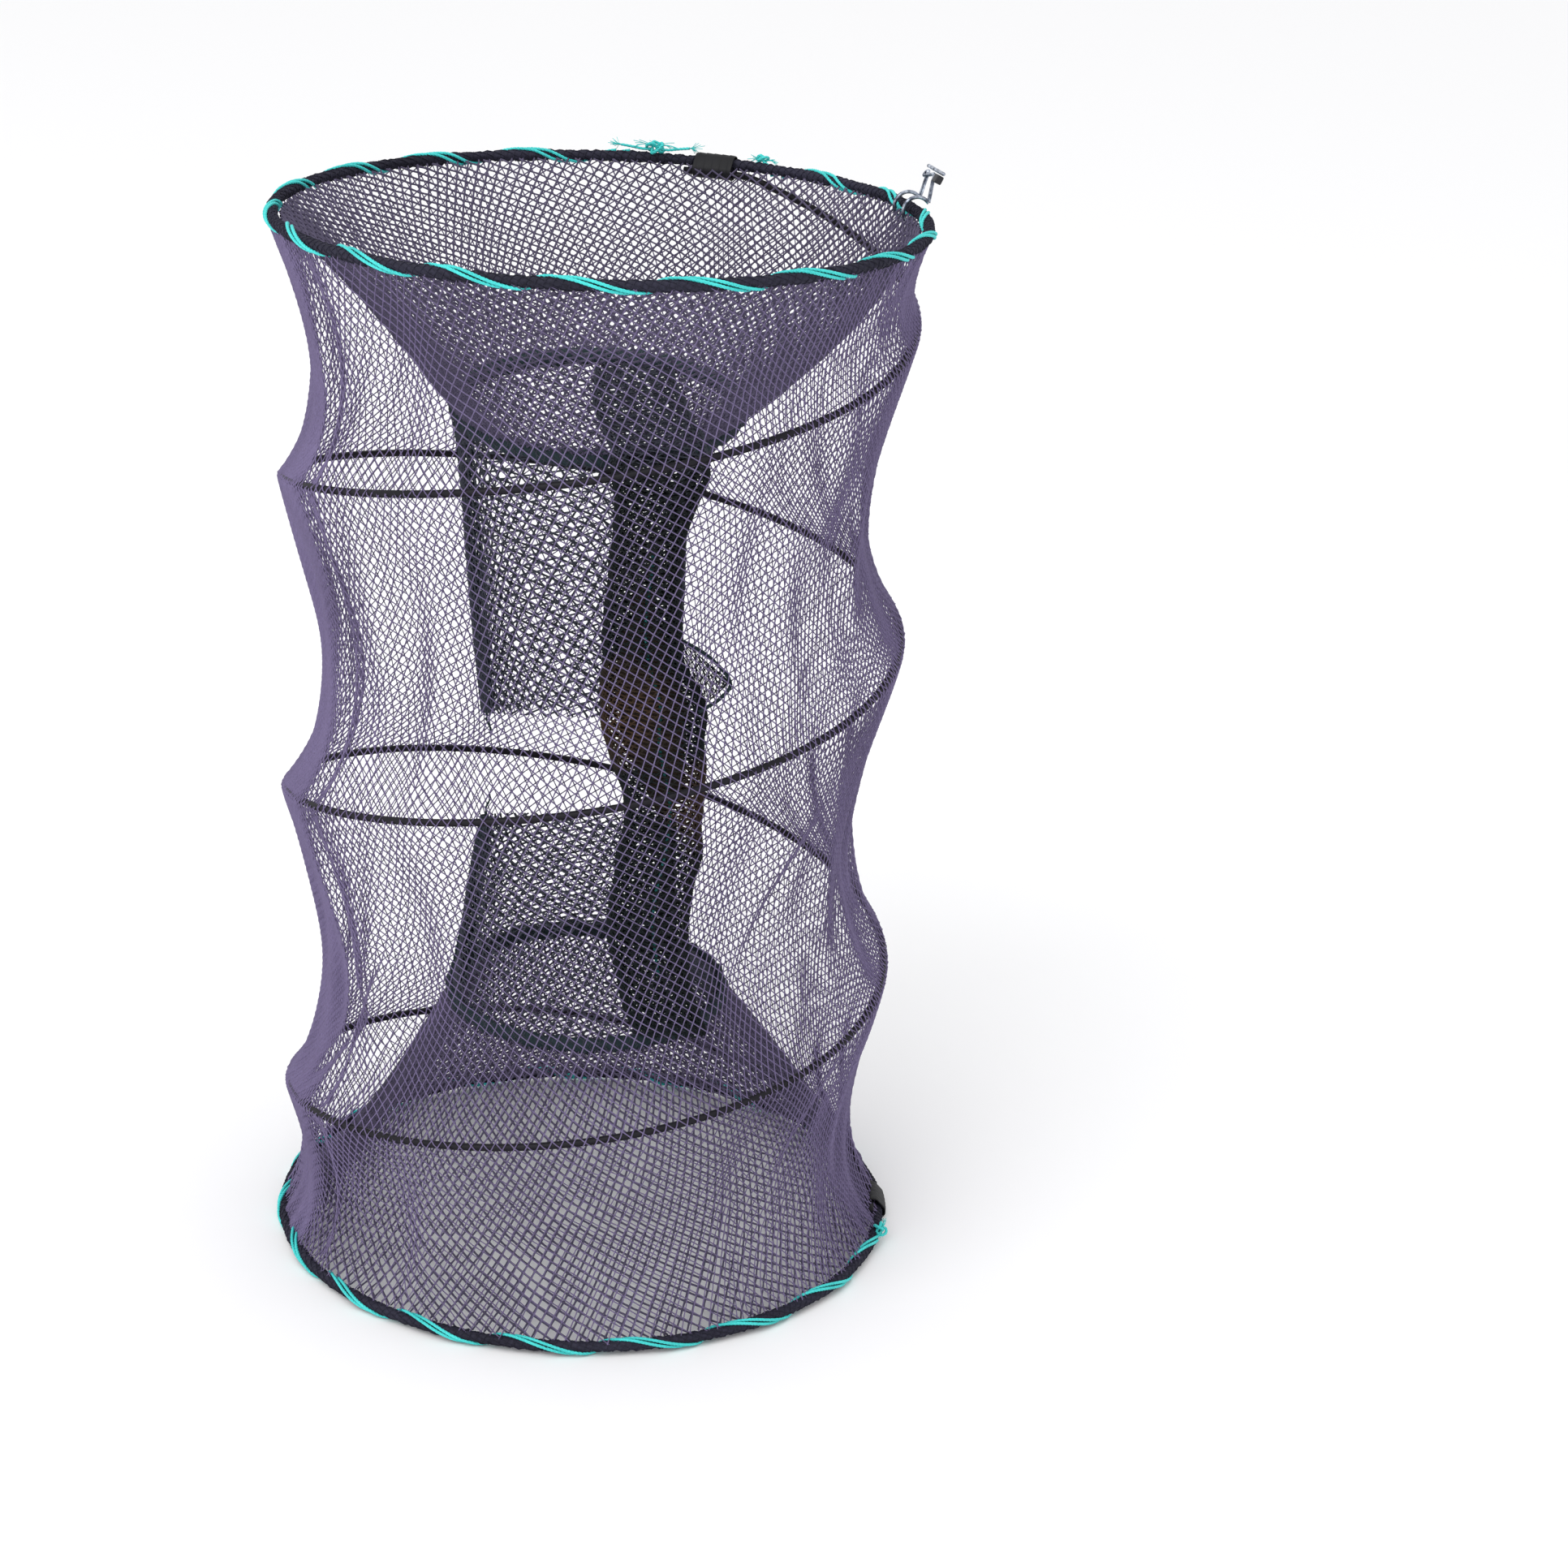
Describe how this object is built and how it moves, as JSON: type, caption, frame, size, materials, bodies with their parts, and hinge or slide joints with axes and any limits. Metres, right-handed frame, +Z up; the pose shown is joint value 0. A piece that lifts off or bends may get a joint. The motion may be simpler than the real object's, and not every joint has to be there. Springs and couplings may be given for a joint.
{
  "type": "folding crab trap",
  "caption": "Cylindrical folding crab trap: wire rings held apart by a coil spring inside a net sleeve, with a net funnel and a flat throat at each end and a bait sleeve between them.",
  "frame": {"origin": "centre of the trap's underside, on the floor it stands on", "axes": "+Z up the trap's axis, +X to the right and +Y to the back of the view that shows both throats face on"},
  "size_m": [0.3097, 0.306, 0.5207],
  "materials": {
    "steel_wire": "black coated spring steel wire",
    "hem_net": "bunched knotless net, matt",
    "twine": "twisted turquoise twine with a slight sheen",
    "tape": "black wrapping tape",
    "sleeve_net": "knotless purple-grey net",
    "funnel_net": "knotless grey net",
    "dark_net": "dense near-black net",
    "bait_cloth": "stained brown net pouch",
    "bright_metal": "bright bent wire",
    "plastic": "black moulded plastic"
  },
  "bodies": {
    "base": {"bottom_ring": "steel_wire", "bottom_hem": "hem_net", "bottom_lacing_1": "twine", "bottom_lacing_2": "twine", "bottom_lacing_knot": "twine", "bottom_splice_tape": "tape", "coil_spring": "steel_wire", "sleeve_net": "sleeve_net", "bottom_funnel": "funnel_net", "bottom_throat": "funnel_net", "bottom_throat_thread": "dark_net", "bait_sleeve": "dark_net", "bait_bag": "bait_cloth", "bait_flap": "dark_net", "bait_cord": "twine"},
    "top": {"top_ring": "steel_wire", "top_hem": "hem_net", "top_lacing_1": "twine", "top_lacing_2": "twine", "top_lacing_knot": "twine", "top_splice_tape": "tape", "closing_cord_knot": "twine", "closing_cord_tail_left": "twine", "closing_cord_tail_right": "twine", "top_funnel": "funnel_net", "top_throat": "funnel_net", "top_throat_thread": "dark_net"},
    "hanger": {"hanger_bail": "bright_metal", "hanger_crossbar": "bright_metal", "hanger_stop": "plastic"}
  },
  "joints": [
    {"name": "fold", "type": "slide", "parent": "base", "child": "top", "axis": [0, 0, 1], "range_m": [-0.463, 0], "stiffness_N_per_m": 25, "springref_m": 0.12, "deforming": ["coil_spring", "sleeve_net", "bottom_funnel", "bottom_throat", "bottom_throat_thread", "bait_sleeve", "bait_bag", "bait_flap", "bait_cord", "top_funnel", "top_throat", "top_throat_thread"]},
    {"name": "hanger_swing", "type": "hinge", "parent": "top", "child": "hanger", "pos_m": [0.1436, 0.0358, 0.50144], "axis": [-0.2419, 0.9703, 0], "range_deg": [-100, 100]}
  ]
}
